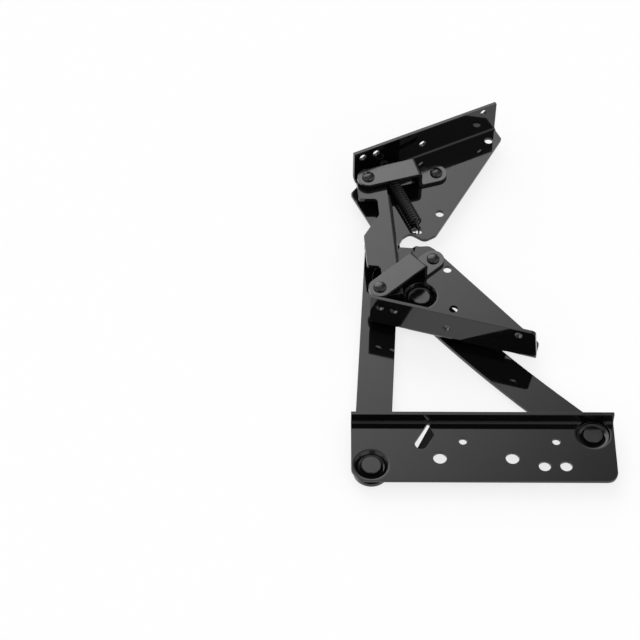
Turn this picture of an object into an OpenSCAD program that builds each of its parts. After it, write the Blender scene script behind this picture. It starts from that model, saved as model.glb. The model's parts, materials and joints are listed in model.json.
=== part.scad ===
// Sofa backrest hinge, right-hand unit, lying flat in its open pose.
// Lengths in millimetres, Z up, the rivet tails stand on z = 0.
// Base frame: front pivot at x = 0, y = 0 before the whole part is centred.

/* [Sheet metal] */
// Thickness of the base plate, both brackets and both straps
sheet_t = 2.5; // [2.3:0.1:2.6]
// Thickness of the two arms
arm_t = 3; // [2.5:0.1:3]
// Width of the two arms
arm_w = 25; // [24:0.5:26]
// Gap between two faces that slide past each other
face_gap = 0.1; // [0.05:0.01:0.15]
// Thickness of the four thin washers
washer_t = 0.5; // [0.4:0.1:0.8]

/* [Linkage] */
// Front arm, base pivot to main pivot
front_arm_len = 192.4; // [190:0.2:195]
// Rear arm, base pivot to link pivot
rear_arm_len = 164.9; // [163.4:0.1:166.4]
// Sideways bow of the rear arm at its middle
rear_arm_bow = 3; // [0:0.5:4]
// Lower bracket, main pivot to link pivot
link_len = 54.9; // [54.5:0.1:55.3]
// Distance of the rear base pivot from the front one, along the plate
rear_pivot_x = 151.5; // [150.5:0.1:152.5]
// Height of the rear base pivot over the front one
rear_pivot_y = 25.6; // [24.6:0.1:26]

/* [Base plate] */
// Length of the base plate
base_len = 179.5; // [178:0.5:183]
// Width of the base plate up to the inside of its flange
base_w = 47.6; // [47:0.1:48.4]
// Height of the base flange over the plate
base_flange_h = 8.6; // [7:0.2:14]
// Diameter of the two large screw holes
large_hole_d = 9.3; // [8:0.1:10]
// Diameter of the two middle screw holes
middle_hole_d = 8.3; // [7:0.1:9]
// Diameter of the two small screw holes
small_hole_d = 5.6; // [4.5:0.1:6.5]

/* [Brackets] */
// Height of the flange of the lower bracket over its plate
lower_flange_h = 27.5; // [26:0.5:30]
// Height of the flange of the upper bracket over its plate
upper_flange_h = 26.8; // [26:0.2:30]
// Length of the flange of the lower bracket
lower_flange_len = 120.4; // [119:0.2:121]
// Length of the flange of the upper bracket
upper_flange_len = 119.5; // [118:0.5:120]
// Diameter of the screw holes in the bracket flanges
flange_hole_d = 5.5; // [4.5:0.1:6]
// Diameter of the screw holes in the bracket plates
plate_hole_d = 6.2; // [5:0.1:6.6]

/* [Rivets] */
// Diameter of the four pivot rivet shanks
pivot_d = 8; // [7:0.2:8]
// Diameter of the four flat pivot rivet heads
pivot_head_d = 13.5; // [12.5:0.1:13.5]
// Diameter of the dome rivet heads
dome_d = 9.4; // [8.6:0.1:9.6]
// Diameter of the tails that the part stands on
tail_d = 15; // [14:0.2:16]

/* [Lock] */
// Length of the lock bar from its pivot to its tip
bar_len = 108; // [106.5:0.5:109]
// Thickness of the lock bar
bar_t = 3; // [2.8:0.1:3.2]
// Width of the two bridge straps
strap_w = 16; // [14:0.5:17]
// Strap length from its raised rivet to its foot rivet
strap_len = 53.5; // [53:0.1:54]
// Outside diameter of the spring
spring_d = 8; // [7.4:0.2:8.6]
// Diameter of the spring wire
wire_d = 1.2; // [1:0.1:1.3]
// Curls of the spring between its two hooks
spring_curls = 18; // [12:1:20]

/* [Hidden] */
$fn = 48;
// radial play round a pin that turns
run = 0.05;

// heights of the layers, from the table up
tail_h = 2;
arm_z = tail_h;
washer_z = arm_z + arm_t + face_gap / 2;
low_z = washer_z + washer_t;
disc_top = low_z + sheet_t;
plate_z = disc_top + face_gap;
plate_top = plate_z + sheet_t;
dish_depth = 2;
base_z = low_z + dish_depth;
base_top = base_z + sheet_t;
// plate tails of the small rivets hang a little way under the brackets
small_tail_h = 1.5;
// lock bar level and the strap over it
bar_z = plate_top + 7.35;
bar_top = bar_z + bar_t;
strap_z = bar_top + 2.3;
strap_top = strap_z + sheet_t;
// thickness of the tail of the cap rivet under the strap
cap_tail_h = 0.5;

// lower bracket: the link pivot stands at this angle in the bracket's own frame
link_angle = -35;
// photographed open pose, and the second photographed pose of the linkage
open_turn = -25.6;
shut_turn = 34;
// angle of the upper bracket from the lower one, open and folded flat
open_fold = 76.68;
flat_fold = 215.38;

function unit(a) = [cos(a), sin(a)];
function angle_of(v) = atan2(v[1], v[0]);
function turned(p, a) = [p[0] * cos(a) - p[1] * sin(a), p[0] * sin(a) + p[1] * cos(a)];
rear_pivot = [rear_pivot_x, rear_pivot_y];

// main pivot for one angle of the lower bracket: two circles that meet
function main_pivot_at(turn) =
    let (v = link_len * unit(turn + link_angle), c = rear_pivot - v, d = norm(c),
        x = (front_arm_len ^ 2 - rear_arm_len ^ 2 + d ^ 2) / (2 * d),
        h = sqrt(front_arm_len ^ 2 - x ^ 2), e = c / d)
    [e[0] * x - e[1] * h, e[1] * x + e[0] * h];
function link_pivot_at(turn) = main_pivot_at(turn) + link_len * unit(turn + link_angle);
main_pivot = main_pivot_at(open_turn);
link_pivot = link_pivot_at(open_turn);
front_arm_angle = angle_of(main_pivot);
rear_arm_angle = angle_of(link_pivot - rear_pivot);
front_arm_swing = angle_of(main_pivot_at(shut_turn)) - front_arm_angle;
rear_arm_swing = angle_of(link_pivot_at(shut_turn) - rear_pivot) - rear_arm_angle;
turn_swing = shut_turn - open_turn;
upper_angle = open_turn + open_fold;

// where the link pivot runs in the rear arm when every joint turns evenly
function drift(q) =
    let (f = front_arm_angle + front_arm_swing * q, r = rear_arm_angle + rear_arm_swing * q,
        l = open_turn + turn_swing * q + link_angle,
        gap = front_arm_len * unit(f) + link_len * unit(l) - rear_pivot - rear_arm_len * unit(r))
    turned(gap, -r);
slot_steps = 16;
drift_path = [for (i = [0:slot_steps]) drift(i / slot_steps)];

// lock bar: its pivot on the upper bracket and the guide on the lower one
// stand at one distance from the main pivot, so the bar turns half as far
lock_reach = 52.4;
lock_pivot_angle = 49.84;
guide_angle = -67.42;
lock_pivot = lock_reach * unit(lock_pivot_angle);
guide = lock_reach * unit(guide_angle);
function guide_from_upper(fold) = turned(guide, -fold);
bar_skew = 0.6;
bar_angle = angle_of(guide_from_upper(open_fold) - lock_pivot) + bar_skew;
bar_edge = 13.2;
guide_far = norm(guide_from_upper(open_fold) - lock_pivot);
guide_near = norm(guide_from_upper(flat_fold) - lock_pivot);
guide_pin_r = 2.5;
guide_sleeve_r = 6;
groove_play = 0.25;
groove_depth = 1.7;
guide_top = bar_z + groove_depth - 0.3;
hook_hole = [26.3, -13.4];
tail_hole_u = -16.6;
tail_r = 3.6;
tail_hole_w = -0.5;
tail_hole = lock_pivot + turned([tail_hole_u, bar_edge - tail_hole_w], bar_angle);

// rivet places on the two brackets
lower_strap_foot = [39.2, -0.6];
strap_dir_lower = angle_of(lower_strap_foot - guide);
upper_strap_foot = [78.1, 9.7];
strap_dir_upper = angle_of(upper_strap_foot - lock_pivot);
lower_foot = guide + strap_len * unit(strap_dir_lower);
upper_foot = lock_pivot + strap_len * unit(strap_dir_upper);
shank_r = 3;
dome_h = 2.4;

// flange lines: inner end, direction, on the inside face of the flange
lower_flange_start = [21.25, -66.1];
lower_flange_dir = 10;
upper_flange_start = [36.2, 55.1];
upper_flange_dir = -25.2;
// the plates end a little way into the bends and just short of their ends
end_step = 0.4;
edge_in = 0.2;
bend_r = 2;
function lower_edge(l, inward = bend_r - edge_in, r = 0) =
    let (p = lower_flange_start + turned([l, inward], lower_flange_dir)) [p[0], p[1], r];
function upper_edge(l, inward = bend_r - edge_in, r = 0) =
    let (p = upper_flange_start + turned([l, -inward], upper_flange_dir)) [p[0], p[1], r];
// screw holes in the flanges: along the flange, up from the plate
lower_flange_holes = [[7, 18.3], [17.4, 18.3], [55.6, 12], [106.6, 22]];
upper_flange_holes = [[7, 20.7], [18, 20.2], [57.2, 11.8], [108.7, 22.1]];
// the outer end of the lower flange leans in and has a round corner
lower_end_slant = 2.5;
lower_end_r = 3;
// plate outlines, starting at the flange edge: [x, y, corner radius]
lower_outline = [lower_edge(end_step), lower_edge(lower_flange_len - end_step),
    lower_edge(lower_flange_len - end_step, 11.5, 4), [36.5, 12, 12], [31.4, 12.9, 4],
    [22.3, 7.6, 0], [12, 0, 0], [4.9, -24.4, 0], [6.4, -31.3, 8], [15, -50, 12]];
upper_outline = [upper_edge(upper_flange_len - end_step), upper_edge(end_step), [31.7, 48.6, 2],
    [23.2, 48.2, 3], [7.9, 15.6, 4], [0, 11.5, 0], [0, -11.5, 0], [14, -8, 5], [21, -9.5, 4],
    [22, -22, 5], [31.5, -25.6, 7], upper_edge(upper_flange_len - end_step, 12, 1.5)];
lower_plate_holes = [[52.5, -1.1], [71, -32.5]];
upper_plate_holes = [[49.6, -15.1], [131.2, 0]];
relief_at = [24.2, 102.5];
relief_w = 8;
relief_h = 3;

// base plate outline, from the front pivot
base_left = -13.6;
base_right = base_left + base_len;
base_bottom = -arm_w / 2;
base_root = base_bottom + base_w;
large_holes = [46.5, 95.5];
large_hole_y = 5.7;
middle_holes = [117, 131.5];
middle_hole_y = -0.5;
small_holes = [62.5, 126];
small_hole_y = 19.3;

// the whole part is centred on its own outline
upper_flange_end = upper_flange_start + upper_flange_len * unit(upper_flange_dir)
    + sheet_t * unit(upper_flange_dir + 90);
far_y = main_pivot[1] + turned(upper_flange_end, upper_angle)[1];
centre = [(base_left + base_right) / 2, (base_bottom + far_y) / 2];

echo(main_pivot = main_pivot - centre, link_pivot = link_pivot - centre);
echo(front_pivot = -centre, rear_pivot = rear_pivot - centre);
echo(rear_arm_swing = rear_arm_swing, front_arm_swing = front_arm_swing);
echo(bracket_turn = turn_swing - front_arm_swing, fold = flat_fold - open_fold);
echo(lock_pivot = main_pivot + turned(lock_pivot, upper_angle) - centre);
echo(lower_angle = open_turn, upper_angle = upper_angle, bar_angle = bar_angle);
echo(guide_near = guide_near, guide_far = guide_far, tops = [base_top, plate_top]);

// placing
module in_base() translate([-centre[0], -centre[1], 0]) children();
module in_lower() in_base() translate([main_pivot[0], main_pivot[1], 0])
    rotate(open_turn) children();
module in_upper() in_base() translate([main_pivot[0], main_pivot[1], 0])
    rotate(upper_angle) children();
// bar frame: x along the bar from its pivot, y towards the straight edge
module in_bar() in_upper() translate([lock_pivot[0], lock_pivot[1], 0])
    rotate(bar_angle) children();
module at(p, z = 0) translate([p[0], p[1], z]) children();

// shapes
// points of a corner at b between a and c, rounded with radius r
function corner(a, b, c, r, n = 5) =
    r == 0 ? [b] :
    let (u = (a - b) / norm(a - b), v = (c - b) / norm(c - b), half = acos(u * v) / 2,
        mid = b + (u + v) / norm(u + v) * r / sin(half),
        s = angle_of(b + u * r / tan(half) - mid), e = angle_of(b + v * r / tan(half) - mid),
        d = (e - s > 180) ? e - s - 360 : (e - s < -180) ? e - s + 360 : e - s)
    [for (i = [0:n]) mid + r * unit(s + d * i / n)];
// outline from a list of [x, y, corner radius]
function outline(p) = [for (i = [0:len(p) - 1])
    let (a = p[(i + len(p) - 1) % len(p)], b = p[i], c = p[(i + 1) % len(p)])
    each corner([a[0], a[1]], [b[0], b[1]], [c[0], c[1]], b[2])];
module sheet(p, z, t) translate([0, 0, z]) linear_extrude(t) polygon(outline(p));
module disc(r, z, h) translate([0, 0, z]) cylinder(r = r, h = h);
module bar_strip(l, w, z, t) {
    translate([0, -w / 2, z]) cube([l, w, t]);
    disc(w / 2, z, t);
    translate([l, 0, 0]) disc(w / 2, z, t);
}
// bent-up flange along x with its inside face at y = 0
module flange(l, z, h) {
    r = bend_r;
    o = r + sheet_t;
    bend = [for (i = [0:5]) [-r, z + o] + o * unit(-90 + 18 * i)];
    inner = [for (i = [5:-1:0]) [-r, z + o] + r * unit(-90 + 18 * i)];
    rotate([90, 0, 90]) linear_extrude(l)
        polygon(concat(bend, [[sheet_t, z + h + sheet_t], [0, z + h + sheet_t]], inner));
}
// rivet with a flat tail below and a flat head above
module flat_rivet(r, tail_r, z0, z_tail, z_head, head_r, z1) {
    c = 0.4;
    rotate_extrude() polygon([[0, z0], [tail_r - c, z0], [tail_r, z0 + c], [tail_r, z_tail],
        [r, z_tail], [r, z_head], [head_r, z_head], [head_r, z1 - c], [head_r - c, z1], [0, z1]]);
}
// rivet with a flat tail below and a dome above
module dome_rivet(r, tail_r, z0, z_tail, z_head, head_r, h) {
    round_top = [for (i = [1:5]) [head_r * cos(18 * i), z_head + 0.5 + (h - 0.5) * sin(18 * i)]];
    rotate_extrude() polygon(concat([[0, z0], [tail_r, z0], [tail_r, z_tail], [r, z_tail],
        [r, z_head], [head_r, z_head], [head_r, z_head + 0.5]], round_top));
}
module thin_washer(r, hole_r) difference() {
    disc(r, washer_z, washer_t);
    disc(hole_r, washer_z - 1, washer_t + 2);
}
module through(d, z = 0) disc(d / 2, z - 5, 60);
// pressed dish: the solid cup, then the hollow cut from it
dish_floor_r = 9;
dish_wall = 2.6;
module dish_cup(top) rotate_extrude() polygon([[0, low_z], [dish_floor_r + 1, low_z],
    [dish_floor_r + dish_wall + 1, top - sheet_t], [dish_floor_r + dish_wall + 1, top], [0, top]]);
module dish_hollow(top) rotate_extrude() polygon([[0, disc_top], [dish_floor_r, disc_top],
    [dish_floor_r + dish_wall, top], [dish_floor_r + dish_wall, top + 1], [0, top + 1]]);

// flat heads end a little under the mounting face
dish_head_h = 1.9;

// base
// rounded swell of the base flange round the rear pivot
module swell_shape(grow) rotate_extrude() polygon([[0, low_z], [10.2 + grow, low_z],
    [11.6 + grow, base_top], [10.8 + grow, base_top + 1.4], [8.6 + grow, base_top + 3],
    [0, base_top + 3]]);
slot_angle = 59.5;
module base_plate() color("#1b1b1d") in_base() {
    pressed_base();
    lanced_tab();
}
module pressed_base() difference() {
    union() {
        sheet([[base_left, base_root - bend_r, 0], [base_left, -4.5, 4], [-8, base_bottom, 3],
            [base_right, base_bottom, 7], [base_right, base_root - bend_r, 0]], base_z, sheet_t);
        translate([base_left, base_root, 0]) flange(base_len, base_z, base_flange_h);
        intersection() {
            dish_cup(base_top);
            translate([base_left, base_bottom, 0]) cube([40, 40, 20]);
        }
        at(rear_pivot) intersection() {
            dish_cup(base_top);
            translate([-20, -20, 0]) cube([base_right - rear_pivot_x + 20, 40, 20]);
        }
        at(rear_pivot) intersection() {
            swell_shape(2);
            translate([-20, base_root - rear_pivot_y, low_z]) cube([40, 20, 40]);
        }
    }
    dish_hollow(base_top);
    at(rear_pivot) dish_hollow(base_top);
    at(rear_pivot) intersection() {
        swell_shape(0);
        translate([-20, -20, disc_top]) cube([40, 60, 40]);
    }
    through(pivot_d);
    at(rear_pivot) through(pivot_d);
    for (x = large_holes) at([x, large_hole_y]) through(large_hole_d);
    for (x = middle_holes) at([x, middle_hole_y]) through(middle_hole_d);
    for (x = small_holes) at([x, small_hole_y]) through(small_hole_d);
    lanced_slot();
}
slot_w = 8.6;
slot_foot = [34, 17.2];
slot_l = 17;
// open strip along the left edge of the tab
strip_w = 2.2;
// the tab is bent down along a line from the right edge of the slot to the open strip
tab_root = [[10.8, -slot_w / 2], [15.4, slot_w / 2 - strip_w]];
tab_tilt = 22;
tab_gap = 0.3;
module lanced_slot() at(slot_foot, base_z - 1) rotate(slot_angle) {
    cylinder(r = slot_w / 2, h = sheet_t + 2);
    linear_extrude(sheet_t + 2) polygon([[0, -slot_w / 2], tab_root[0], tab_root[1],
        [slot_l, tab_root[1][1]], [slot_l, slot_w / 2], [0, slot_w / 2]]);
}
module lanced_tab() at(slot_foot) rotate(slot_angle) intersection() {
    at(tab_root[0], base_top - 0.1) rotate(angle_of(tab_root[1] - tab_root[0]))
        rotate([-tab_tilt, 0, 0]) translate([-15, 0, -sheet_t]) cube([35, 20, sheet_t]);
    union() {
        disc(slot_w / 2 - tab_gap, 0, 30);
        linear_extrude(30) polygon([[0, tab_gap - slot_w / 2],
            [tab_root[0][0] + 1.5, tab_gap - slot_w / 2], [tab_root[1][0] + 1.5, tab_root[1][1]],
            [0, tab_root[1][1]]]);
    }
    translate([-20, -20, 0]) cube([60, 19.9 + tab_root[1][1], 30]);
}

module front_pivot_rivet() color("#2a2a2c") in_base()
    flat_rivet(pivot_d / 2, tail_d / 2, 0, arm_z - face_gap / 2, disc_top, pivot_head_d / 2,
        disc_top + dish_head_h);
module rear_pivot_rivet() color("#2a2a2c") in_base() at(rear_pivot)
    flat_rivet(pivot_d / 2, tail_d / 2, 0, arm_z - face_gap / 2, disc_top, pivot_head_d / 2,
        disc_top + dish_head_h);
module front_pivot_washer() color("#8d8f92") in_base() thin_washer(9, pivot_d / 2);
module rear_pivot_washer() color("#8d8f92") in_base() at(rear_pivot)
    thin_washer(9, pivot_d / 2);

// arms
module front_arm() color("#1b1b1d") in_base() rotate(front_arm_angle) difference() {
    bar_strip(front_arm_len, arm_w, arm_z, arm_t);
    through(pivot_d + 2 * run);
    translate([front_arm_len, 0, 0]) through(pivot_d);
}
module rear_arm() color("#1b1b1d") in_base() at(rear_pivot) rotate(rear_arm_angle)
    difference() {
        bowed_strip(rear_arm_len, arm_w, rear_arm_bow, arm_z, arm_t);
        through(pivot_d + 2 * run);
        translate([rear_arm_len, 0, arm_z - 1]) linear_extrude(arm_t + 2) link_slot();
    }
// strip with round ends whose middle is bowed to one side
module bowed_strip(l, w, bow, z, t) {
    steps = 12;
    function side(i, y) = [l * i / steps, y + bow * sin(180 * i / steps)];
    translate([0, 0, z]) linear_extrude(t) polygon(concat([for (i = [0:steps]) side(i, -w / 2)],
        [for (i = [steps:-1:0]) side(i, w / 2)]));
    disc(w / 2, z, t);
    translate([l, 0, 0]) disc(w / 2, z, t);
}
// the link rivet crosses this slot while the linkage turns
slot_room = 0.35;
module link_slot() hull() for (p = drift_path) translate(p)
    circle(r = link_shank_r + slot_room);
link_shank_r = 3;

// lower bracket
step_r = 24;
// lowered floor round the main pivot, in a sector with a stepped rim
module boss_step(a0, a1) intersection() {
    rotate_extrude() polygon([[0, low_z], [step_r - 1.2, low_z], [step_r + 1.4, plate_z],
        [step_r + 3, plate_z], [step_r + 3, plate_top], [step_r + 0.6, plate_top],
        [step_r - 2, disc_top], [0, disc_top]]);
    union() {
        disc(13, low_z - 2, 20);
        translate([0, 0, low_z - 3]) linear_extrude(22) polygon([[0, 0], 50 * unit(a0),
            70 * unit((a0 + a1) / 2), 50 * unit(a1)]);
    }
}
module flange_cuts(holes, z) {
    for (h = holes) translate([h[0], -20, z + h[1]]) rotate([-90, 0, 0])
        cylinder(d = flange_hole_d, h = 40);
}
// notches cut through the bend of the lower flange
module bend_reliefs(z) for (x = relief_at) translate([x - relief_w / 2, -bend_r - 0.6,
    z - sheet_t - 1]) cube([relief_w, sheet_t + bend_r + 5, relief_h + 1]);
// trims the outer end of a flange
module flange_end(l, z, h, slant, r) translate([0, 20, 0]) rotate([90, 0, 0])
    linear_extrude(40) polygon(outline([[l, z + h / 4, 0], [l - slant, z + h, r],
        [l - slant - 2 * r - 1, z + h, 0], [l - slant - 2 * r - 1, z + h + 5, 0],
        [l + 5, z + h + 5, 0], [l + 5, z + h / 4, 0]]));
module lower_bracket() color("#1b1b1d") in_lower() difference() {
    union() {
        difference() {
            sheet(lower_outline, plate_z, sheet_t);
            disc(step_r + 2, plate_z - 1, sheet_t + 2);
        }
        boss_step(-78, 21);
        at(lower_flange_start) rotate(lower_flange_dir) mirror([0, 1, 0])
            flange(lower_flange_len, plate_z, lower_flange_h);
        at(link_len * unit(link_angle)) dish_cup(plate_top);
    }
    at(link_len * unit(link_angle)) dish_hollow(plate_top);
    through(pivot_d + 2 * run);
    at(link_len * unit(link_angle)) through(2 * link_shank_r);
    for (p = lower_plate_holes) at(p) through(plate_hole_d);
    at(lower_foot) through(2 * shank_r);
    at(guide) through(2 * shank_r);
    at(lower_flange_start) rotate(lower_flange_dir) mirror([0, 1, 0]) {
        flange_cuts(lower_flange_holes, plate_top);
        bend_reliefs(plate_top);
        flange_end(lower_flange_len, plate_z, sheet_t + lower_flange_h, lower_end_slant,
            lower_end_r);
    }
}
module main_pivot_rivet() color("#2a2a2c") in_lower()
    flat_rivet(pivot_d / 2, tail_d / 2, 0, arm_z, plate_top + face_gap, pivot_head_d / 2,
        plate_top + face_gap + 2.2);
module main_pivot_washer() color("#8d8f92") in_lower() thin_washer(9, pivot_d / 2 + run);
module link_pivot_rivet() color("#2a2a2c") in_lower() at(link_len * unit(link_angle))
    flat_rivet(link_shank_r, tail_d / 2, 0, arm_z - face_gap / 2, disc_top, pivot_head_d / 2,
        disc_top + dish_head_h);
module link_pivot_washer() color("#8d8f92") in_lower() at(link_len * unit(link_angle))
    thin_washer(9, link_shank_r);

// straps
// raised over the lock bar, stepped down to a foot on the bracket
strap_rise = 37.2;
module bridge_strap(r_up, r_foot) difference() {
    intersection() {
        bar_strip(strap_len, strap_w, plate_top, strap_top - plate_top);
        translate([0, 40, 0]) rotate([90, 0, 0]) linear_extrude(80) polygon(outline([
            [-20, strap_z, 0], [strap_rise, strap_z, 1], [strap_rise, plate_top, 3],
            [strap_len + 20, plate_top, 0], [strap_len + 20, plate_top + sheet_t, 0],
            [strap_rise + sheet_t, plate_top + sheet_t, 1], [strap_rise + sheet_t, strap_top, 3],
            [-20, strap_top, 0]]));
    }
    through(2 * r_up);
    translate([strap_len, 0, 0]) through(2 * r_foot);
}
module lower_bridge_strap() color("#222224") in_lower() at(guide) rotate(strap_dir_lower)
    bridge_strap(shank_r, shank_r);
module upper_bridge_strap() color("#222224") in_upper() at(lock_pivot)
    rotate(strap_dir_upper) bridge_strap(shank_r, shank_r);
module lower_strap_rivet() color("#2a2a2c") in_lower() at(lower_foot)
    dome_rivet(shank_r, 4.4, plate_z - small_tail_h, plate_z, plate_top + sheet_t, dome_d / 2,
        dome_h);
module upper_strap_rivet() color("#2a2a2c") in_upper() at(upper_foot)
    dome_rivet(shank_r, 4.4, plate_z - small_tail_h, plate_z, plate_top + sheet_t, dome_d / 2,
        dome_h);
// guide under the lower strap: a pin that runs in the groove of the lock bar
module guide_pin() color("#2a2a2c") in_lower() at(guide) rotate_extrude() polygon([
    [0, plate_z - small_tail_h], [4.4, plate_z - small_tail_h], [4.4, plate_z],
    [shank_r, plate_z], [shank_r, bar_z - 1.3], [guide_pin_r, bar_z - 1.3],
    [guide_pin_r, guide_top], [0, guide_top]]);
module guide_sleeve() color("#8d8f92") in_lower() at(guide) difference() {
    disc(guide_sleeve_r, plate_top, bar_z - 1.3 - plate_top);
    disc(shank_r, plate_top - 1, 30);
}
module guide_cap_rivet() color("#2a2a2c") in_lower() at(guide)
    dome_rivet(shank_r, 4.6, strap_z - cap_tail_h, strap_z, strap_top, dome_d / 2, dome_h);

// upper bracket
module upper_bracket() color("#1b1b1d") in_upper() difference() {
    union() {
        sheet(upper_outline, plate_z, sheet_t);
        disc(11.5, plate_z, sheet_t);
        at(upper_flange_start) rotate(upper_flange_dir)
            flange(upper_flange_len, plate_z, upper_flange_h);
    }
    through(pivot_d + 2 * run);
    at(hook_hole) through(5.2);
    at(hook_hole + [-2, 2.6]) through(3.2);
    for (p = upper_plate_holes) at(p) through(plate_hole_d);
    at(upper_foot) through(2 * shank_r);
    at(lock_pivot) through(2 * shank_r);
    at(upper_flange_start) rotate(upper_flange_dir) flange_cuts(upper_flange_holes,
        plate_top);
}
module lock_bar_rivet() color("#2a2a2c") in_upper() at(lock_pivot)
    dome_rivet(shank_r, 4.4, plate_z - small_tail_h, plate_z, strap_top, dome_d / 2, dome_h);
module lock_bar_lower_spacer() color("#8d8f92") in_upper() at(lock_pivot) difference() {
    disc(6, plate_top, bar_z - face_gap - plate_top);
    disc(shank_r, 0, 40);
}
module lock_bar_upper_spacer() color("#8d8f92") in_upper() at(lock_pivot) difference() {
    disc(5.5, bar_top + face_gap, strap_z - bar_top - face_gap);
    disc(shank_r, 0, 40);
}

// lock bar
stud = [90.6, 7.3];
// [distance along the bar, distance from the straight edge, corner radius]
bar_points = [[-15, 0, 2], [bar_len - 0.6, 0, 1.5], [bar_len + 0.4, 11.2, 2], [81, 11.6, 3],
    [79.4, 21, 1.5], [52, 21, 2], [42, 14.4, 3], [33, 8, 4], [17.5, 8, 2.5], [16.5, 21.6, 2],
    [-5, 21.6, 7], [-9, 8, 5], [-15, 3.6, 2]];
// the straight edge is rolled down to stiffen the bar: [out from the edge, up from the bar]
roll_from = 14;
roll_r = 2.6;
roll_h = 4.2;
roll_section = concat([[-0.6, bar_t - 0.6], [0, bar_t - 0.04]],
    [for (a = [75:-15:0]) roll_r * unit(a) + [0, bar_t - 0.04 - roll_r]],
    [[roll_r, bar_t - roll_h], [0.4, bar_t - roll_h], [-0.6, bar_t - roll_h + 1.6]]);
module rolled_edge() translate([roll_from, bar_edge, bar_z]) rotate([90, 0, 90])
    linear_extrude(bar_len - 1.2 - roll_from) polygon([for (i = [len(roll_section) - 1:-1:0])
        roll_section[i]]);
module lock_bar() color("#222224") in_bar() difference() {
    union() {
        rolled_edge();
        sheet([for (i = [len(bar_points) - 1:-1:0]) let (p = bar_points[i])
            [p[0], bar_edge - p[1], p[2]]], bar_z, bar_t);
        translate([tail_hole_u, bar_edge - tail_hole_w, 0]) disc(tail_r, bar_z, bar_t);
    }
    through(2 * (shank_r + run));
    translate([tail_hole_u, bar_edge - tail_hole_w, 0]) through(3.6);
    translate([stud[0], bar_edge - stud[1], 0]) through(2 * shank_r);
    // groove in the underside that the guide pin runs along
    rotate(-bar_skew) {
        translate([guide_near, -guide_pin_r - groove_play, bar_z - 1])
            cube([bar_len, 2 * (guide_pin_r + groove_play), groove_depth + 1]);
        translate([guide_near, 0, 0]) disc(guide_pin_r + groove_play, bar_z - 1,
            groove_depth + 1);
    }
}
module lock_bar_stud() color("#2a2a2c") in_bar()
    translate([stud[0], bar_edge - stud[1], 0])
        dome_rivet(shank_r, 4, bar_z - 1, bar_z, bar_top, 4.5, 1.6);

// spring
wire_r = wire_d / 2;
coil_r = (spring_d - wire_d) / 2;
span = norm(tail_hole - hook_hole);
spring_dir = angle_of(tail_hole - hook_hole);
spring_z = plate_top + 0.6 + spring_d / 2;
lead = 7;
rings = 8;
turns_n = spring_curls * rings;
// path: up from the bracket, round the coil, up through the tail of the bar
path = concat(
    [[0, 0, plate_z - 0.8], [0, 0, plate_top + 1], [0.8, 0, spring_z - 1.2],
        [2.4, 0, spring_z - 0.1], [lead - 2.2, 0.3, spring_z + 0.6]],
    [for (i = [0:turns_n]) [lead + (span - 2 * lead) * i / turns_n,
        coil_r * sin(360 * i / rings), spring_z + coil_r * cos(360 * i / rings)]],
    [[span - lead + 2.2, 0.3, spring_z + 1], [span - 2.2, 0, spring_z + 0.3],
        [span - 0.7, 0, spring_z + 1.4], [span, 0, spring_z + 3.4], [span, 0, bar_top + 0.8]]);
function step_dir(i) =
    let (a = path[max(0, i - 1)], b = path[min(len(path) - 1, i + 1)]) (b - a) / norm(b - a);
// carry the side vector along the path so that the tube doesn't twist
function sides(i, s) = i >= len(path) ? [] :
    let (t = step_dir(i), c = s - (s * t) * t, n = c / norm(c)) concat([n], sides(i + 1, n));
side_list = sides(0, [0, 1, 0]);
tube_points = [for (i = [0:len(path) - 1]) let (n = side_list[i], m = cross(step_dir(i), n))
    each [for (k = [0:5]) path[i] + wire_r * (cos(60 * k) * n + sin(60 * k) * m)]];
last = len(path) - 1;
tube_faces = concat(
    [for (k = [1:4]) [0, k, k + 1]],
    [for (k = [1:4]) [6 * last, 6 * last + k + 1, 6 * last + k]],
    [for (i = [0:last - 1], k = [0:5]) [6 * i + k, 6 * i + 6 + k, 6 * i + (k + 1) % 6]],
    [for (i = [0:last - 1], k = [0:5])
        [6 * i + (k + 1) % 6, 6 * i + 6 + k, 6 * i + 6 + (k + 1) % 6]]);
spring_gap = min([for (i = [0:last], j = [i + 5:1:last]) norm(path[i] - path[j])]) - wire_d;
echo(least_gap_of_spring = spring_gap);
module lock_spring() color("#55575a") in_upper() at(hook_hole) rotate(spring_dir)
    polyhedron(tube_points, tube_faces);

base_plate();
front_pivot_rivet();
front_pivot_washer();
rear_pivot_rivet();
rear_pivot_washer();
front_arm();
rear_arm();
lower_bracket();
main_pivot_rivet();
main_pivot_washer();
link_pivot_rivet();
link_pivot_washer();
lower_bridge_strap();
lower_strap_rivet();
guide_pin();
guide_sleeve();
guide_cap_rivet();
upper_bracket();
upper_bridge_strap();
upper_strap_rivet();
lock_bar_rivet();
lock_bar_lower_spacer();
lock_bar_upper_spacer();
lock_bar();
lock_bar_stud();
lock_spring();
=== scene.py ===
import json
import math
import bpy
from mathutils import Matrix, Vector


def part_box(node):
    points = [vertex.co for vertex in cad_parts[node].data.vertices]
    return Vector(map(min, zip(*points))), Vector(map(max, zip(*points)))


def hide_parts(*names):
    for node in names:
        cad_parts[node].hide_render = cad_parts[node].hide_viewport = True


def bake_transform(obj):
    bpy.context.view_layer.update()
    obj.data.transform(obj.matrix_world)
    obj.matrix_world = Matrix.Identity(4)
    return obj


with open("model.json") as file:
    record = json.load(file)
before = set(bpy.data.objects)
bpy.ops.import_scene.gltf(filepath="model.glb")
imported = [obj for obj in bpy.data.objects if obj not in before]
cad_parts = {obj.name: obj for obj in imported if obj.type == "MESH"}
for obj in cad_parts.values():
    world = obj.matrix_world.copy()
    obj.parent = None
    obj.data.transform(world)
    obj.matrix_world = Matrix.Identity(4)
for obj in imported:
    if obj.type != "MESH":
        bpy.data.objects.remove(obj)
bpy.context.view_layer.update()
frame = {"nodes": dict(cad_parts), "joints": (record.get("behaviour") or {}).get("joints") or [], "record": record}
nodes = frame["nodes"]
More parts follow.
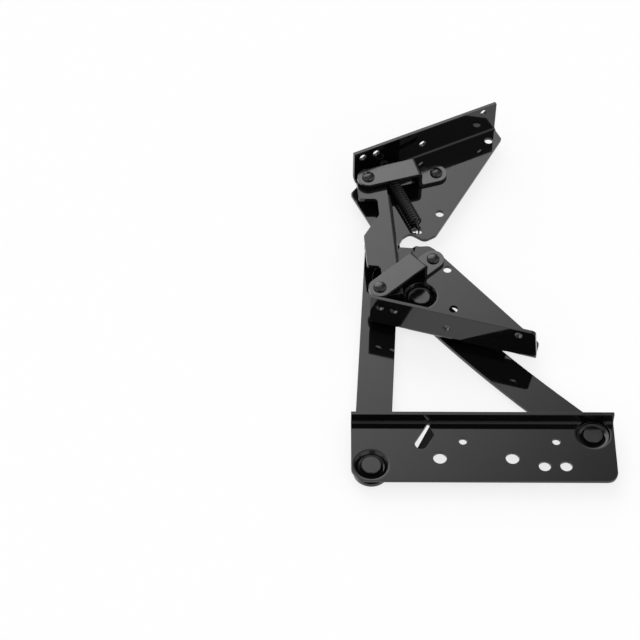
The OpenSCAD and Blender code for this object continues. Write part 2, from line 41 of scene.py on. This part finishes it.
joints = {joint["name"]: joint for joint in frame["joints"]}
scene = bpy.context.scene
mm = 0.001


def linearColor(hexColor, alpha=1.0):  # sRGB hex to the linear values that Blender mixes
    values = [int(hexColor[i:i + 2], 16) / 255 for i in (1, 3, 5)]
    return [v / 12.92 if v <= 0.04045 else ((v + 0.055) / 1.055) ** 2.4 for v in values] + [alpha]


def addNode(tree, kind, settings=None, links=None):  # settings: attribute or socket, links: socket to socket
    node = tree.nodes.new(kind)
    for key, value in (settings or {}).items():
        if isinstance(key, str) and hasattr(node, key):
            setattr(node, key, value)
        else:
            node.inputs[key].default_value = value
    for key, source in (links or {}).items():
        tree.links.new(source, node.inputs[key])
    return node


def newMaterial(name):
    material = bpy.data.materials.new(name)
    material.use_nodes = True
    material.node_tree.nodes.clear()
    return material, material.node_tree


def giveMaterial(nodeName, material):
    mesh = nodes[nodeName].data
    mesh.materials.clear()
    mesh.materials.append(material)


# the photograph's own lens and height, solved from both hinges and measured from the front arm's lower pivot
camera = {"lensMm": 114.5, "sensorMm": 36, "tiltDeg": 37.30, "rollDeg": 0.24,
          "fromPivotMm": (-31.44, -754.14), "heightMm": 1160.7}
pivot = joints["front_arm_pivot"]["pos_m"]
cameraData = bpy.data.cameras.new("studioCamera")
cameraData.lens = camera["lensMm"]
cameraData.sensor_width = camera["sensorMm"]
cameraObject = bpy.data.objects.new("studioCamera", cameraData)
cameraObject.location = [pivot[i] + camera["fromPivotMm"][i] * mm for i in (0, 1)] + [camera["heightMm"] * mm]
cameraObject.rotation_euler = [math.radians(camera["tiltDeg"]), 0, math.radians(camera["rollDeg"])]
scene.collection.objects.link(cameraObject)
scene.camera = cameraObject
scene.view_settings.view_transform = "Standard"

# a dim even sky with soft boxes: each adds light round its direction, out to the edge's cosine
light = {"sky": 0.27, "boxes": [
    {"towards": (-0.259, 0.798, 0.545), "add": 3.0, "edge": 0.819, "full": 0.961},  # large, behind the hinge
    {"towards": (0.0, 0.0, 1.0), "add": 0.5, "edge": 0.80, "full": 0.97},  # faint, overhead
    {"towards": (0.82, 0.10, 0.56), "add": 0.9, "edge": 0.87, "full": 0.97},  # right
    {"towards": (0.55, -0.58, 0.60), "add": 1.0, "edge": 0.84, "full": 0.96},  # behind the camera, right
    {"towards": (-0.62, -0.50, 0.60), "add": 0.9, "edge": 0.86, "full": 0.97},  # behind the camera, left
    {"towards": (-0.84, 0.10, 0.50), "add": 0.8, "edge": 0.90, "full": 0.98}]}  # left
world = bpy.data.worlds.new("whiteStudio")
world.use_nodes = True
scene.world = world
tree = world.node_tree
tree.nodes.clear()
direction = addNode(tree, "ShaderNodeTexCoord")
strength = addNode(tree, "ShaderNodeMath", {"operation": "ADD", 0: light["sky"], 1: 0.0})
for softBox in light["boxes"]:
    facing = addNode(tree, "ShaderNodeVectorMath",
                     {"operation": "DOT_PRODUCT", 1: Vector(softBox["towards"]).normalized()},
                     {0: direction.outputs["Generated"]})
    lobe = addNode(tree, "ShaderNodeMapRange",
                   {"interpolation_type": "SMOOTHSTEP", "From Min": softBox["edge"], "From Max": softBox["full"],
                    "To Min": 0.0, "To Max": softBox["add"]}, {"Value": facing.outputs["Value"]})
    strength = addNode(tree, "ShaderNodeMath", {"operation": "ADD"},
                       {0: strength.outputs[0], 1: lobe.outputs["Result"]})
sky = addNode(tree, "ShaderNodeBackground", {"Color": (1, 1, 1, 1)}, {"Strength": strength.outputs[0]})
addNode(tree, "ShaderNodeOutputWorld", None, {"Surface": sky.outputs[0]})
print("camera and studio light ready")

# white paper that keeps a faint shadow: the eye, gloss and glass see it mostly as lit from within
floorLook = {"half": 6.0, "hex": "#f7f7f7", "glow": 0.78}
bpy.ops.mesh.primitive_plane_add(size=2 * floorLook["half"], location=(0, 0, 0))
floor = bpy.context.object
floor.name = "studioFloor"
paper, tree = newMaterial("matt white paper roll")
matt = addNode(tree, "ShaderNodeBsdfDiffuse", {"Color": linearColor(floorLook["hex"])})
lit = addNode(tree, "ShaderNodeEmission", {"Color": (1, 1, 1, 1), "Strength": 1.0})
ray = addNode(tree, "ShaderNodeLightPath")
seen = addNode(tree, "ShaderNodeMath", {"operation": "MAXIMUM"},
               {0: ray.outputs["Is Camera Ray"], 1: ray.outputs["Is Glossy Ray"]})
seen = addNode(tree, "ShaderNodeMath", {"operation": "MAXIMUM"},
               {0: seen.outputs[0], 1: ray.outputs["Is Transmission Ray"]})
share = addNode(tree, "ShaderNodeMath", {"operation": "MULTIPLY", 1: floorLook["glow"]}, {0: seen.outputs[0]})
surface = addNode(tree, "ShaderNodeMixShader", None, {0: share.outputs[0], 1: matt.outputs[0], 2: lit.outputs[0]})
addNode(tree, "ShaderNodeOutputMaterial", None, {"Surface": surface.outputs[0]})
floor.data.materials.append(paper)

# what all the black finishes share: how noise turns into bump, clouding, rub marks, and greyer thin edges that also
# carry a painted edge highlight
film = {"bumpMm": 0.2, "peelDetail": 2.0, "peelRoughness": 0.45, "bevelRays": 6, "dishFall": 2.0,
        "cloudDetail": 3.0, "cloudLow": 0.3, "cloudHigh": 0.7,
        "rubMm": 0.9, "rubDetail": 1.0, "rubStretch": (1.0, 0.12, 1.0), "rubTurn": 0.6, "rubLow": 0.55, "rubHigh": 0.8,
        "edgeStart": 0.98, "edgeEnd": 0.80, "coatIor": 1.5}


def coatedMaterial(name, finish):  # one recipe for every black finish, worked in real millimetres
    material, tree = newMaterial(name)
    place = addNode(tree, "ShaderNodeTexCoord")
    # the film or surface is never quite flat: orange peel, or tool and mould marks, peelMm across
    peel = addNode(tree, "ShaderNodeTexNoise",
                   {"Scale": 1 / (finish["peelMm"] * mm), "Detail": film["peelDetail"],
                    "Roughness": film["peelRoughness"]}, {"Vector": place.outputs["Object"]})
    soften = addNode(tree, "ShaderNodeBevel", {"samples": film["bevelRays"], "Radius": finish["edgeMm"] * mm})
    bump = addNode(tree, "ShaderNodeBump", {"Strength": finish["peel"], "Distance": film["bumpMm"] * mm},
                   {"Height": peel.outputs["Fac"], "Normal": soften.outputs["Normal"]})
    # drawn dishes run out softly into the sheet, so their rims are rounder than cut ones
    for dish in finish.get("dishes", []):
        flatPlace = addNode(tree, "ShaderNodeVectorMath", {"operation": "MULTIPLY", 1: (1, 1, 0)},
                            {0: place.outputs["Object"]})
        away = addNode(tree, "ShaderNodeVectorMath",
                       {"operation": "DISTANCE", 1: (dish["at"][0], dish["at"][1], 0)},
                       {0: flatPlace.outputs["Vector"]})
        fall = addNode(tree, "ShaderNodeMapRange",
                       {"From Min": dish["innerMm"] * mm, "From Max": dish["outerMm"] * mm,
                        "To Min": 1.0, "To Max": 0.0}, {"Value": away.outputs["Value"]})
        bowl = addNode(tree, "ShaderNodeMath", {"operation": "POWER", 1: film["dishFall"]}, {0: fall.outputs["Result"]})
        depth = addNode(tree, "ShaderNodeMath", {"operation": "MULTIPLY", 1: -dish["riseMm"] * mm},
                        {0: bowl.outputs[0]})
        bump = addNode(tree, "ShaderNodeBump", {"Strength": 1.0, "Distance": 1.0},
                       {"Height": depth.outputs[0], "Normal": bump.outputs["Normal"]})
    # clouding where the film is thicker or thinner, and fine rub marks from handling
    cloud = addNode(tree, "ShaderNodeTexNoise",
                    {"Scale": 1 / (finish["cloudMm"] * mm), "Detail": film["cloudDetail"]},
                    {"Vector": place.outputs["Object"]})
    stretched = addNode(tree, "ShaderNodeMapping",
                        {"Scale": film["rubStretch"], "Rotation": (0.0, 0.0, film["rubTurn"])},
                        {"Vector": place.outputs["Object"]})
    rub = addNode(tree, "ShaderNodeTexNoise", {"Scale": 1 / (film["rubMm"] * mm), "Detail": film["rubDetail"]},
                  {"Vector": stretched.outputs["Vector"]})
    # enamel draws back from sharp edges, where the film is thin: the greyer colour mixed in there is partly that thin
    # film, partly a painted edge highlight
    flat = addNode(tree, "ShaderNodeNewGeometry")
    turned = addNode(tree, "ShaderNodeVectorMath", {"operation": "DOT_PRODUCT"},
                     {0: soften.outputs["Normal"], 1: flat.outputs["Normal"]})
    thinFilmAndHighlight = addNode(tree, "ShaderNodeMapRange",
                   {"From Min": film["edgeStart"], "From Max": film["edgeEnd"],
                    "To Min": 0.0, "To Max": finish["edgeFilmAndHighlightShare"]}, {"Value": turned.outputs["Value"]})
    tint = addNode(tree, "ShaderNodeMix",
                   {"data_type": "RGBA", 6: linearColor(finish["hexLow"]), 7: linearColor(finish["hexHigh"])},
                   {0: cloud.outputs["Fac"]})
    # mixes the greyer edge colour into the base colour: thin film and painted edge highlight
    edgeFilmAndHighlight = addNode(tree, "ShaderNodeMix", {"data_type": "RGBA", 7: linearColor(finish["hexEdgeFilmAndHighlight"])},
                    {0: thinFilmAndHighlight.outputs["Result"], 6: tint.outputs[2]})
    gloss = addNode(tree, "ShaderNodeMapRange",
                    {"From Min": film["cloudLow"], "From Max": film["cloudHigh"],
                     "To Min": finish["roughLow"], "To Max": finish["roughHigh"]}, {"Value": cloud.outputs["Fac"]})
    rubbed = addNode(tree, "ShaderNodeMapRange",
                     {"From Min": film["rubLow"], "From Max": film["rubHigh"], "To Min": 0.0, "To Max": finish["rub"]},
                     {"Value": rub.outputs["Fac"]})
    rough = addNode(tree, "ShaderNodeMath", {"operation": "ADD"},
                    {0: gloss.outputs["Result"], 1: rubbed.outputs["Result"]})
    shader = addNode(tree, "ShaderNodeBsdfPrincipled",
                     {"IOR": finish["ior"], "Coat Weight": finish["coat"], "Coat Roughness": finish["coatRough"],
                      "Coat IOR": film["coatIor"]},
                     {"Base Color": edgeFilmAndHighlight.outputs[2], "Roughness": rough.outputs[0], "Normal": bump.outputs["Normal"]})
    addNode(tree, "ShaderNodeOutputMaterial", None, {"Surface": shader.outputs[0]})
    return material


# stoved black enamel on pressed sheet: deep black under a mirror gloss that shows the flanges upside down
# the edge colour and its share, here and in every finish below, make sharp edges greyer: partly thin film, partly a
# painted edge highlight
sheetFinish = {"peelMm": 3.0, "peel": 0.02, "edgeMm": 0.45, "cloudMm": 18, "rub": 0.05, "edgeFilmAndHighlightShare": 0.5,
               "hexLow": "#060607", "hexHigh": "#0c0c0d", "hexEdgeFilmAndHighlight": "#2a2a2c",
               "roughLow": 0.03, "roughHigh": 0.08, "ior": 1.47, "coat": 0.0, "coatRough": 0.03}
dishRim = {"innerMm": 6.8, "outerMm": 13.0, "riseMm": 1.7}
low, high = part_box("link_pivot_rivet")
dishesAt = {"base_plate": [joints["front_arm_pivot"]["pos_m"], joints["rear_arm_pivot"]["pos_m"]],
            "upper_bracket": [],
            "lower_bracket": [[(low[i] + high[i]) / 2 for i in range(3)]]}
sheetEnamel = {sheet: coatedMaterial("stoved black enamel on " + sheet.replace("_", " "),
                                     dict(sheetFinish, dishes=[dict(dishRim, at=at) for at in places]))
               for sheet, places in dishesAt.items()}
# the same enamel on flat strip, a little flatter from the rolled steel below
stripEnamel = coatedMaterial("stoved black enamel on strip", {
    "peelMm": 4.0, "peel": 0.015, "edgeMm": 0.5, "cloudMm": 22, "rub": 0.05, "edgeFilmAndHighlightShare": 0.4,
    "hexLow": "#060607", "hexHigh": "#0b0b0c", "hexEdgeFilmAndHighlight": "#262628",
    "roughLow": 0.04, "roughHigh": 0.08, "ior": 1.47, "coat": 0.0, "coatRough": 0.03})
# straps: enamel with a clear second coat, brighter than the plates and a shade softer
strapEnamel = coatedMaterial("double coated black enamel on straps", {
    "peelMm": 2.0, "peel": 0.04, "edgeMm": 0.55, "cloudMm": 9, "rub": 0.08, "edgeFilmAndHighlightShare": 0.5,
    "hexLow": "#0f0f10", "hexHigh": "#18181a", "hexEdgeFilmAndHighlight": "#303032",
    "roughLow": 0.10, "roughHigh": 0.18, "ior": 1.5, "coat": 0.35, "coatRough": 0.06})
# lock bar: the same, with a thinner second coat
barEnamel = coatedMaterial("double coated black enamel on lock bar", {
    "peelMm": 2.5, "peel": 0.03, "edgeMm": 0.5, "cloudMm": 12, "rub": 0.08, "edgeFilmAndHighlightShare": 0.4,
    "hexLow": "#0c0c0d", "hexHigh": "#141416", "hexEdgeFilmAndHighlight": "#2c2c2e",
    "roughLow": 0.07, "roughHigh": 0.14, "ior": 1.48, "coat": 0.05, "coatRough": 0.05})
# upset steel rivet heads under the enamel: small hammered domes, greyer at the rim from thin film and a painted rim
# highlight
rivetEnamel = coatedMaterial("black enamel on rivet heads", {
    "peelMm": 1.5, "peel": 0.06, "edgeMm": 0.4, "cloudMm": 5, "rub": 0.08, "edgeFilmAndHighlightShare": 0.6,
    "hexLow": "#0b0b0c", "hexHigh": "#151516", "hexEdgeFilmAndHighlight": "#333335",
    "roughLow": 0.08, "roughHigh": 0.18, "ior": 1.5, "coat": 0.0, "coatRough": 0.05})
# turned steel spacers, chemically blacked: dull with a grey cast
blackedSteel = coatedMaterial("blacked turned steel", {
    "peelMm": 0.8, "peel": 0.10, "edgeMm": 0.25, "cloudMm": 4, "rub": 0.10, "edgeFilmAndHighlightShare": 0.7,
    "hexLow": "#151517", "hexHigh": "#222224", "hexEdgeFilmAndHighlight": "#4a4a4d",
    "roughLow": 0.28, "roughHigh": 0.42, "ior": 1.6, "coat": 0.0, "coatRough": 0.1})
# black nylon washers: no gloss, a faint mould texture
nylon = coatedMaterial("black moulded nylon", {
    "peelMm": 0.6, "peel": 0.12, "edgeMm": 0.15, "cloudMm": 3, "rub": 0.05, "edgeFilmAndHighlightShare": 0.2,
    "hexLow": "#101011", "hexHigh": "#18181a", "hexEdgeFilmAndHighlight": "#222223",
    "roughLow": 0.42, "roughHigh": 0.55, "ior": 1.53, "coat": 0.0, "coatRough": 0.1})
# oiled spring wire: drawn steel, nearly black, each coil catches one thin streak of light
springWire = coatedMaterial("oiled black spring wire", {
    "peelMm": 0.7, "peel": 0.05, "edgeMm": 0.05, "cloudMm": 3, "rub": 0.05, "edgeFilmAndHighlightShare": 0.0,
    "hexLow": "#080809", "hexHigh": "#101011", "hexEdgeFilmAndHighlight": "#101011",
    "roughLow": 0.12, "roughHigh": 0.22, "ior": 1.47, "coat": 0.0, "coatRough": 0.1})
finishOf = {"black_enamel": strapEnamel, "arm_enamel": stripEnamel, "rivet_enamel": rivetEnamel,
            "spacer_steel": blackedSteel, "spring_wire": springWire, "washer_nylon": nylon}
for part in frame["record"]["subparts"]:
    giveMaterial(part["node"], sheetEnamel.get(part["node"], finishOf[part["material_slot"]]))
giveMaterial("lock_bar", barEnamel)
print("materials given to", len(nodes), "pieces")

# spring: hookMm and tailMm are its two holes, counted from the main pivot before the bracket's fold
spring = {"foldDeg": 51.08, "hookMm": (26.3, -13.4), "tailMm": (55.26, 41.53), "axisMm": 15.45, "coilMm": 3.8,
          "wireMm": 0.66, "turns": 21, "leadMm": 5.0, "bottomMm": 7.4, "topMm": 21.8,
          "steps": 26, "wireSides": 12, "pathSteps": 10, "stillShare": 0.33}


def springTree():  # the two hook paths come in as a curve, the coil is drawn between them
    tree = bpy.data.node_groups.new("coiledWire", "GeometryNodeTree")
    face = tree.interface
    face.new_socket("Geometry", in_out="INPUT", socket_type="NodeSocketGeometry")
    sockets = {name: face.new_socket(name, in_out="INPUT", socket_type=kind).identifier for name, kind in (
        ("Coil Radius", "NodeSocketFloat"), ("Wire Radius", "NodeSocketFloat"), ("Turns", "NodeSocketFloat"),
        ("Coil Length", "NodeSocketFloat"), ("Lead", "NodeSocketFloat"), ("Steps Per Turn", "NodeSocketInt"),
        ("Wire Sides", "NodeSocketInt"), ("Finish", "NodeSocketMaterial"))}
    face.new_socket("Geometry", in_out="OUTPUT", socket_type="NodeSocketGeometry")
    given = addNode(tree, "NodeGroupInput").outputs
    coil = addNode(tree, "GeometryNodeCurveSpiral", None, {
        "Resolution": given["Steps Per Turn"], "Rotations": given["Turns"], "Start Radius": given["Coil Radius"],
        "End Radius": given["Coil Radius"], "Height": given["Coil Length"]})
    start = addNode(tree, "ShaderNodeCombineXYZ", None, {"X": given["Lead"]})
    laid = addNode(tree, "GeometryNodeTransform", {"Rotation": (0, math.pi / 2, 0)},
                   {"Geometry": coil.outputs["Curve"], "Translation": start.outputs[0]})
    wire = addNode(tree, "GeometryNodeJoinGeometry")
    tree.links.new(given["Geometry"], wire.inputs[0])
    tree.links.new(laid.outputs[0], wire.inputs[0])
    section = addNode(tree, "GeometryNodeCurvePrimitiveCircle", None,
                      {"Resolution": given["Wire Sides"], "Radius": given["Wire Radius"]})
    tube = addNode(tree, "GeometryNodeCurveToMesh", {"Fill Caps": True},
                   {"Curve": wire.outputs[0], "Profile Curve": section.outputs["Curve"]})
    smooth = addNode(tree, "GeometryNodeSetShadeSmooth", None, {"Geometry": tube.outputs[0]})
    real = addNode(tree, "GeometryNodeRealizeInstances", None, {"Geometry": smooth.outputs[0]})
    finished = addNode(tree, "GeometryNodeSetMaterial", None,
                       {"Geometry": real.outputs[0], "Material": given["Finish"]})
    tree.links.new(finished.outputs[0], addNode(tree, "NodeGroupOutput").inputs[0])
    return tree, sockets


def bezierPath(curve, points):  # smooth open path through points in millimetres
    spline = curve.splines.new("BEZIER")
    spline.bezier_points.add(len(points) - 1)
    for knot, point in zip(spline.bezier_points, points):
        knot.co = Vector(point) * mm
        knot.handle_left_type = knot.handle_right_type = "AUTO"
    spline.resolution_u = spring["pathSteps"]


hook, tail = Vector(spring["hookMm"]), Vector(spring["tailMm"])
reach = (tail - hook).length
lead, coilR = spring["leadMm"], spring["coilMm"]
down = spring["bottomMm"] - spring["axisMm"]
up = spring["topMm"] - spring["axisMm"]
hooks = bpy.data.curves.new("springHooks", "CURVE")
hooks.dimensions = "3D"
bezierPath(hooks, ((0, 0, down), (-0.1, 0, -4.0), (0.9, 0, -1.6), (2.6, 0, -0.3), (lead - 0.9, 0.7, 1.2),
                   (lead, 0.4, coilR - 0.9), (lead + 0.05, 0, coilR)))  # from the bracket's hole up into the coil
bezierPath(hooks, ((reach - lead - 0.05, 0, coilR), (reach - lead, 0.4, coilR - 0.9),
                   (reach - lead + 0.9, 0.7, 1.2), (reach - 2.6, 0, 0.3), (reach - 0.8, 0, 1.2),
                   (reach, 0, 3.4), (reach, 0, up)))  # from the coil into the tail's hole
draft = bpy.data.objects.new("springDraft", hooks)
scene.collection.objects.link(draft)
tree, sockets = springTree()
wound = draft.modifiers.new("coiledWire", "NODES")
wound.node_group = tree
for name, value in (("Coil Radius", coilR * mm), ("Wire Radius", spring["wireMm"] * mm),
                    ("Turns", float(spring["turns"])), ("Coil Length", (reach - 2 * lead) * mm), ("Lead", lead * mm),
                    ("Steps Per Turn", spring["steps"]), ("Wire Sides", spring["wireSides"]), ("Finish", springWire)):
    wound[sockets[name]] = value
bpy.context.view_layer.update()
springMesh = bpy.data.meshes.new_from_object(draft.evaluated_get(bpy.context.evaluated_depsgraph_get()))
mainPivot = Vector(joints["main_pivot"]["pos_m"])
turn = Matrix.Rotation(math.radians(spring["foldDeg"]), 4, "Z")
along = Matrix.Rotation(math.atan2(tail.y - hook.y, tail.x - hook.x), 4, "Z")
place = (Matrix.Translation((mainPivot.x, mainPivot.y, 0)) @ turn
         @ Matrix.Translation((hook.x * mm, hook.y * mm, spring["axisMm"] * mm)) @ along)
springMesh.transform(place)
springPiece = bpy.data.objects.new("tension_spring", springMesh)
scene.collection.objects.link(springPiece)
bpy.data.objects.remove(draft)
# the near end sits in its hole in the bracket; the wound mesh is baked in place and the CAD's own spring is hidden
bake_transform(springPiece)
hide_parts("lock_spring")
print("spring wound,", len(springMesh.polygons), "faces")
